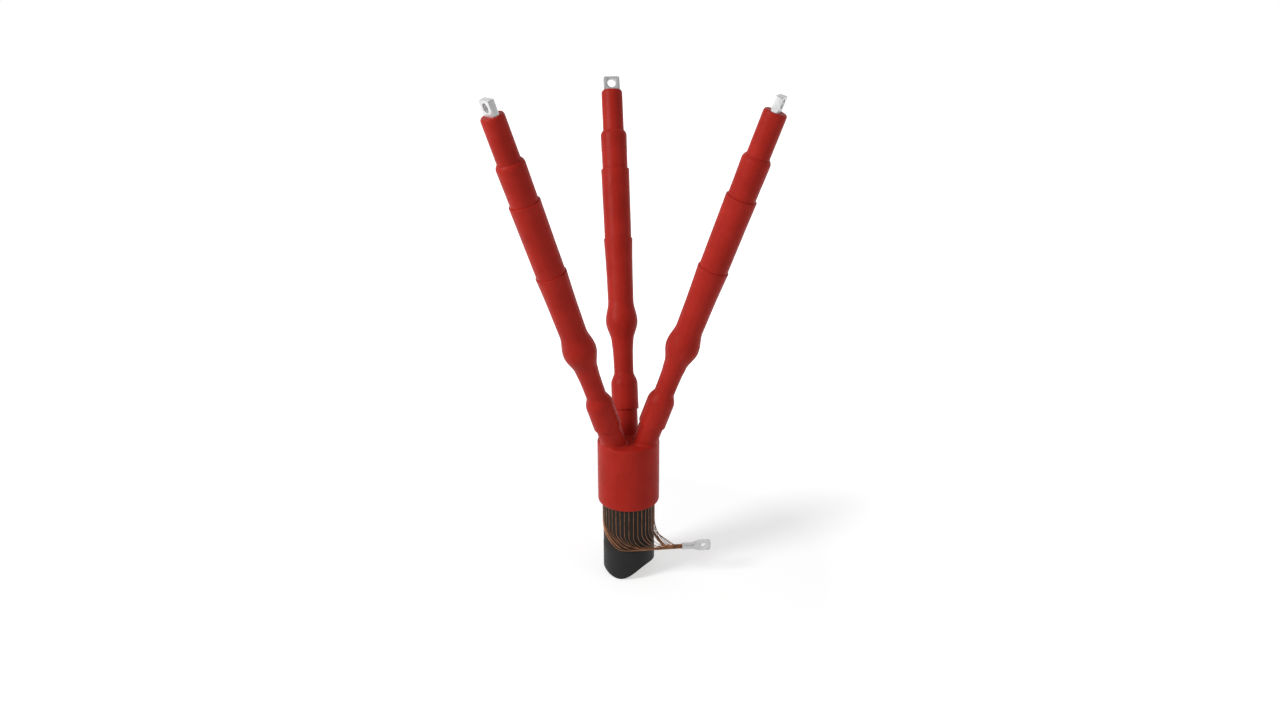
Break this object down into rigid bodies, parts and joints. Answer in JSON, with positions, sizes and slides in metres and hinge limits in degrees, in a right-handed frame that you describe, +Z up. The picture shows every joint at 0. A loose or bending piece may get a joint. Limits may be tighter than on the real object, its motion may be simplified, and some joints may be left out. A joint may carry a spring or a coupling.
{
  "type": "cable termination",
  "caption": "Three-core heat-shrink cable termination with a red breakout boot, sleeved cores ending in bolt lugs, and screen wires gathered into an earth lug.",
  "frame": {"origin": "on the cable axis, level with the lowest point of the cable's wavy cut end", "axes": "+Z up the cable towards the lugs, +Y towards the rear core's lean, +X along the gathered wires to the earth lug"},
  "size_m": [0.3166, 0.2767, 0.6014],
  "materials": {
    "sheath": "satin black cable sheath",
    "copper": "bare drawn copper",
    "bedding": "dull grey-black extruded bedding",
    "filler": "dull pale filler",
    "boot_red": "satin red shrunk polyolefin",
    "sleeve_red": "satin red shrunk polyolefin",
    "mastic": "tacky yellow mastic",
    "mastic_red": "smooth dull red sealing mastic",
    "tinned": "pale satin tinned metal",
    "conductor": "compacted copper strand",
    "insulation": "milky natural insulation",
    "semicon": "dull black semiconducting layer",
    "stress_black": "dull black stress control tube"
  },
  "bodies": {
    "root": {"cable_sheath": "sheath", "screen_wires": "copper", "bedding": "bedding", "core_filler": "filler", "breakout_boot": "boot_red", "boot_mastic": "mastic", "crotch_mastic": "mastic", "earth_lug": "tinned", "rear_conductor": "conductor", "rear_insulation": "insulation", "rear_core_screen": "semicon", "rear_stress_mastic": "mastic", "rear_stress_tube": "stress_black", "rear_lower_tube": "sleeve_red", "rear_middle_sleeve": "sleeve_red", "rear_upper_sleeve": "sleeve_red", "rear_lug_sleeve": "sleeve_red", "rear_seal_mastic": "mastic", "rear_lug_mastic": "mastic_red", "rear_lug": "tinned", "left_conductor": "conductor", "left_insulation": "insulation", "left_core_screen": "semicon", "left_stress_mastic": "mastic", "left_stress_tube": "stress_black", "left_lower_tube": "sleeve_red", "left_middle_sleeve": "sleeve_red", "left_upper_sleeve": "sleeve_red", "left_lug_sleeve": "sleeve_red", "left_seal_mastic": "mastic", "left_lug_mastic": "mastic_red", "left_lug": "tinned", "right_conductor": "conductor", "right_insulation": "insulation", "right_core_screen": "semicon", "right_stress_mastic": "mastic", "right_stress_tube": "stress_black", "right_lower_tube": "sleeve_red", "right_middle_sleeve": "sleeve_red", "right_upper_sleeve": "sleeve_red", "right_lug_sleeve": "sleeve_red", "right_seal_mastic": "mastic", "right_lug_mastic": "mastic_red", "right_lug": "tinned"}
  },
  "joints": []
}
